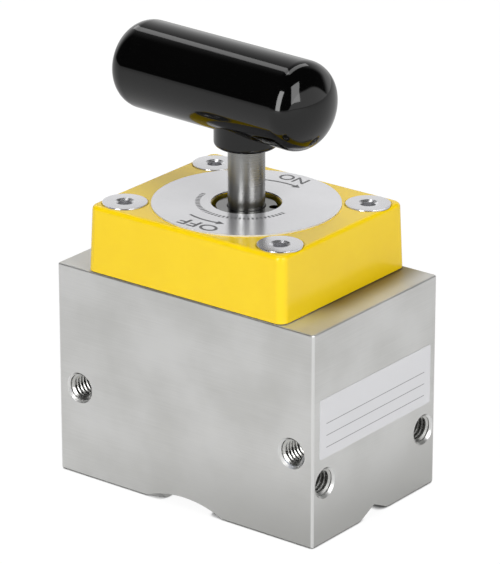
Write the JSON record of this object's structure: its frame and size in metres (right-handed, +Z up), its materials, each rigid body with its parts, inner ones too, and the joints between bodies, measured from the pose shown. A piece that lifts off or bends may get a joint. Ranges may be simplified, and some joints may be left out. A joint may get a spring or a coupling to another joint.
{
  "type": "magnetic welding square",
  "caption": "Switchable magnetic welding square: ground steel block with tapped faces and a grooved base, yellow cap, dial plate and a black T handle that turns from OFF to ON.",
  "frame": {"origin": "middle of the block's base, in the plane that it stands on", "axes": "+Z up along the shaft, +X along the block's length towards the labelled end, -Y towards the front face"},
  "size_m": [0.0691, 0.044, 0.0984],
  "materials": {
    "ground_steel": "ground, satin nickel-like",
    "yellow_paint": "gloss powder coat",
    "black_plastic": "high gloss",
    "turned_steel": "turned",
    "screw_steel": "bright plated",
    "dial_aluminium": "satin with printed marks",
    "label_film": "plain satin film",
    "seal_rubber": "matt",
    "pad_plastic": "matt",
    "magnet_nickel": "nickel plated",
    "hardened_steel": "ground",
    "carrier_alloy": "machined",
    "bronze": "rolled",
    "brass": "turned"
  },
  "bodies": {
    "housing": {"steel_block": "ground_steel", "floor_pad": "pad_plastic", "lower_magnet": "magnet_nickel", "magnet_keys": "hardened_steel", "separator_disc": "bronze", "bore_liner": "bronze", "thrust_washer": "bronze", "cap_gasket": "seal_rubber", "cap": "yellow_paint", "cap_screws": "screw_steel", "dial_plate": "dial_aluminium", "shaft_bush": "turned_steel", "shaft_seal": "seal_rubber", "lock_ring": "hardened_steel", "stop_pin": "hardened_steel", "side_label": "label_film"},
    "rotor": {"upper_magnet": "magnet_nickel", "rotor_carrier": "carrier_alloy"},
    "knob": {"drive_shaft": "turned_steel", "drive_pin": "hardened_steel", "lock_peg": "hardened_steel", "release_spring": "hardened_steel", "handle": "black_plastic", "handle_insert": "brass"}
  },
  "joints": [
    {"name": "switch_turn", "type": "hinge", "parent": "housing", "child": "rotor", "pos_m": [0, 0, 0.04], "axis": [0, 0, -1], "range_deg": [0, 180]},
    {"name": "release_press", "type": "slide", "parent": "rotor", "child": "knob", "axis": [0, 0, -1], "range_m": [0, 0.0025], "stiffness_N_per_m": 3000, "springref_m": -0.002, "deforming": ["release_spring"]}
  ]
}
